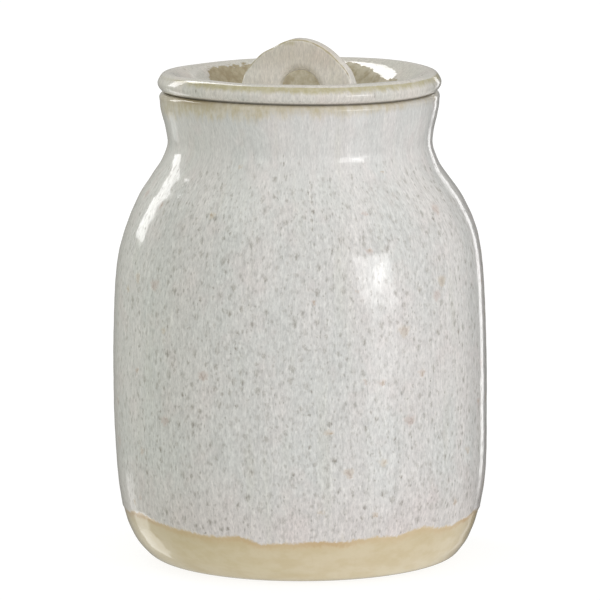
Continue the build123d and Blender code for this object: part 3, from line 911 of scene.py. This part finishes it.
# ================================================================ stage and light
def make_stage():
    """A wide pale floor. Only the camera sees it: the light that the room throws on the jar comes from the world alone."""
    me = bpy.data.meshes.new("floor")
    n = 40
    co = np.linspace(-9, 9, n)
    vs = [(x, y, 0.0) for y in co for x in co]
    fs = [(j * n + i, j * n + i + 1, (j + 1) * n + i + 1, (j + 1) * n + i) for j in range(n - 1) for i in range(n - 1)]
    me.from_pydata(vs, [], fs)
    me.update()
    ob = bpy.data.objects.new("floor", me)
    scene.collection.objects.link(ob)
    m, N, bsdf = material("floor_paper")
    v = N.new("ShaderNodeTexCoord").outputs["Object"]
    n1 = N.noise(N.scale_vec(v, 3.0, 3.0, 3.0), 1.0, 3.0, 0.5)
    N.put(bsdf.inputs["Base Color"], N.mix(n1, (0.22, 0.22, 0.22), (0.24, 0.24, 0.238)))
    bsdf.inputs["Roughness"].default_value = 0.9
    bsdf.inputs["Specular IOR Level"].default_value = 0.1
    bsdf.inputs["Emission Color"].default_value = (1.0, 1.0, 1.0, 1.0)
    bsdf.inputs["Emission Strength"].default_value = FLOOR_GLOW
    me.materials.append(m)
    ob.visible_diffuse = False
    ob.visible_glossy = False
    ob.visible_transmission = False
    ob.visible_volume_scatter = False
    ob.visible_shadow = False
    return ob


def world():
    """The room's light by direction: az 0 is the front, 90 is +X, el is up from the horizon. The camera sees plain white."""
    w = bpy.data.worlds.new("studio")
    scene.world = w
    w.use_nodes = True
    t = w.node_tree
    for n in list(t.nodes):
        t.nodes.remove(n)
    N = Nodes(t)
    out = N.new("ShaderNodeOutputWorld")
    v = N.new("ShaderNodeTexCoord").outputs["Generated"]
    x, y, z = N.xyz(v)
    az = N.math("MULTIPLY", N.math("ARCTAN2", x, N.math("MULTIPLY", y, -1.0)), 180.0 / math.pi)
    el = N.math("MULTIPLY", N.math("ARCSINE", z), 180.0 / math.pi)
    way = N.math("ADD", N.math("DIVIDE", az, 360.0), 0.5)

    def ramp(stops):
        n = N.new("ShaderNodeValToRGB")
        N.put(n.inputs[0], way)
        el_ = n.color_ramp.elements
        while len(el_) > 1:
            el_.remove(el_[-1])
        for i, (deg, c) in enumerate(stops):
            e = el_[0] if i == 0 else el_.new((deg + 180.0) / 360.0)
            e.position = (deg + 180.0) / 360.0
            e.color = (*c, 1.0)
        return n.outputs[0]

    level = None
    for i, (at, row) in enumerate(ROOM):
        stops = list(zip(ROOM_AZ, row)) + [(180, row[0])]
        value = N.xyz(ramp([(a, (q / 2.0,) * 3) for a, q in stops]))[0]
        if level is None:
            level = value
        else:
            step = N.range(el, ROOM[i - 1][0], at, 0.0, 1.0, "LINEAR")
            level = N.math("ADD", level, N.math("MULTIPLY", step, N.math("SUBTRACT", value, level)))
    level = N.math("MULTIPLY", level, 2.0 * ROOM_GAIN)

    def box(a0, a1, e0, e1, sa, se, a=az, e=el):
        """1 inside a patch of directions, fading over sa and se degrees at its edges."""
        f = N.math("MULTIPLY", N.range(a, a0 - sa, a0 + sa), N.range(a, a1 - sa, a1 + sa, 1.0, 0.0))
        return N.math("MULTIPLY", f, N.math("MULTIPLY", N.range(e, e0 - se, e0 + se), N.range(e, e1 - se, e1 + se, 1.0, 0.0)))

    # the window leans out to the right as it goes down, and is brightest along a slanting line
    lean = N.math("SUBTRACT", az, N.range(el, 7.0, -1.0, 0.0, 4.0))
    lamps = [N.math("MULTIPLY", box(35.0, 58.5, -1.0, 20.0, 1.2, 1.6, a=lean), 3.2)]
    da, de = N.math("SUBTRACT", az, 51.0), N.math("SUBTRACT", el, 9.5)
    along = N.math("ADD", N.math("MULTIPLY", da, 0.66), N.math("MULTIPLY", de, 0.75))
    across = N.math("SUBTRACT", N.math("MULTIPLY", de, 0.66), N.math("MULTIPLY", da, 0.75))
    far = N.math("SQRT", N.math("ADD", N.math("POWER", N.math("ABSOLUTE", N.math("DIVIDE", along, 9.5)), 2.0),
                                N.math("POWER", N.math("ABSOLUTE", N.math("DIVIDE", across, 6.0)), 2.0)))
    lamps.append(N.math("MULTIPLY", N.range(far, 1.15, 0.15), 5.0))
    for (a0, a1, e0, e1, sa, se, power) in LAMPS:
        lamps.append(N.math("MULTIPLY", box(a0, a1, e0, e1, sa, se), power))
    lp = N.new("ShaderNodeLightPath")
    for (a0, a1, e0, e1, sa, se, power) in GLINTS:
        lamps.append(N.math("MULTIPLY", N.math("MULTIPLY", box(a0, a1, e0, e1, sa, se), power), lp.outputs["Is Glossy Ray"]))
    total = lamps[0]
    for q in lamps[1:]:
        total = N.math("ADD", total, q)

    tint = ramp([(a, tuple(q / 1.1 for q in c)) for a, c in TINT])
    colour = N.vmath("ADD", scaled(N, tint, N.math("MULTIPLY", level, 1.1)), N.pack(total, total, total))
    bg = N.new("ShaderNodeBackground")
    N.put(bg.inputs["Color"], colour)
    bg.inputs["Strength"].default_value = 1.0
    white = N.new("ShaderNodeBackground")
    white.inputs["Color"].default_value = (1, 1, 1, 1)
    white.inputs["Strength"].default_value = 1.0
    mixer = N.new("ShaderNodeMixShader")
    N.put(mixer.inputs[0], lp.outputs["Is Camera Ray"])
    t.links.new(bg.outputs[0], mixer.inputs[1])
    t.links.new(white.outputs[0], mixer.inputs[2])
    t.links.new(mixer.outputs[0], out.inputs["Surface"])


FLOOR_GLOW = 0.84
ROOM_GAIN = 0.99
ROOM_AZ = (-180, -162, -150, -120, -100, -75, -50, -20, 10, 35, 60, 90, 118, 130, 146, 160)
ROOM = (   # elevation, then how bright the room is at each azimuth
    (-70, (1.00, 0.91, 0.86, 0.90, 0.96, 1.01, 1.06, 1.11, 1.19, 1.27, 1.34, 1.37, 1.26, 1.22, 1.18, 1.10)),
    (-45, (0.52, 0.50, 0.52, 0.80, 0.86, 0.72, 0.73, 0.69, 0.92, 0.96, 0.94, 0.93, 0.96, 1.03, 1.04, 0.91)),
    (-28, (0.53, 0.51, 0.77, 0.57, 0.49, 0.36, 0.43, 0.54, 0.66, 0.46, 0.44, 0.29, 0.57, 0.88, 0.74, 0.50)),
    (-14, (0.22, 0.26, 0.37, 0.52, 0.71, 0.66, 0.55, 0.58, 0.81, 0.60, 0.51, 0.27, 0.48, 0.00, 0.05, 0.05)),
    (0, (0.42, 0.42, 0.44, 0.85, 0.84, 0.72, 0.86, 0.87, 0.88, 0.74, 1.31, 0.59, 0.67, 0.27, 0.18, 0.06)),
    (15, (0.58, 0.56, 0.62, 0.52, 0.46, 0.48, 0.91, 0.79, 0.84, 0.97, 1.28, 0.70, 0.67, 0.32, 0.12, 0.40)),
    (35, (0.46, 0.50, 0.56, 0.26, 0.29, 0.55, 0.91, 0.85, 0.86, 0.85, 1.05, 0.83, 0.69, 0.54, 0.39, 0.39)),
    (60, (0.48, 0.51, 0.53, 0.48, 0.54, 0.77, 0.89, 0.88, 1.12, 1.01, 0.92, 0.89, 0.73, 0.63, 0.53, 0.48)),
)
TINT = (
    (-180, (1.03, 1.0, 0.93)), (-120, (1.0, 1.01, 0.94)), (-90, (0.96, 1.02, 0.88)), (-60, (0.98, 1.01, 0.92)), (-20, (1.0, 1.0, 1.0)),
    (60, (1.0, 1.0, 1.01)), (120, (1.0, 1.0, 0.96)), (160, (1.02, 1.0, 0.93)), (180, (1.03, 1.0, 0.93)),
)
LAMPS = (   # azimuths, elevations, how soft each way, radiance
    (42.0, 60.0, -28.0, -1.0, 1.2, 2.5, 1.0),         # the window's lower panes
    (-136.5, -124.5, 7.0, 76.0, 0.7, 1.0, 3.4),       # tall strip behind at the left
    (149.0, 156.5, -12.0, 12.0, 0.8, 3.0, 1.2),       # narrow strip behind at the right, fainter above and below
    (149.0, 156.5, -28.0, 48.0, 0.8, 4.0, 0.35),
    (-147.5, -127.0, -38.0, -21.5, 1.5, 1.5, 1.05),    # glow of the table behind at the left
    (-145.5, -132.5, -21.5, -12.4, 1.5, 0.8, 0.6),
    (-60.0, -30.0, 40.0, 75.0, 6.0, 6.0, 0.5),
    (6.6, 8.4, 46.9, 48.1, 0.4, 0.3, 4.0),            # two small ceiling lamps
    (6.4, 8.0, 57.5, 58.5, 0.4, 0.3, 3.0),
)
GLINTS = (  # the bright upper part of the tall strip, as mirrored by the glaze
    (-141.0, -115.5, 32.5, 67.0, 0.8, 1.2, 5.4),
)

make_stage()
world()
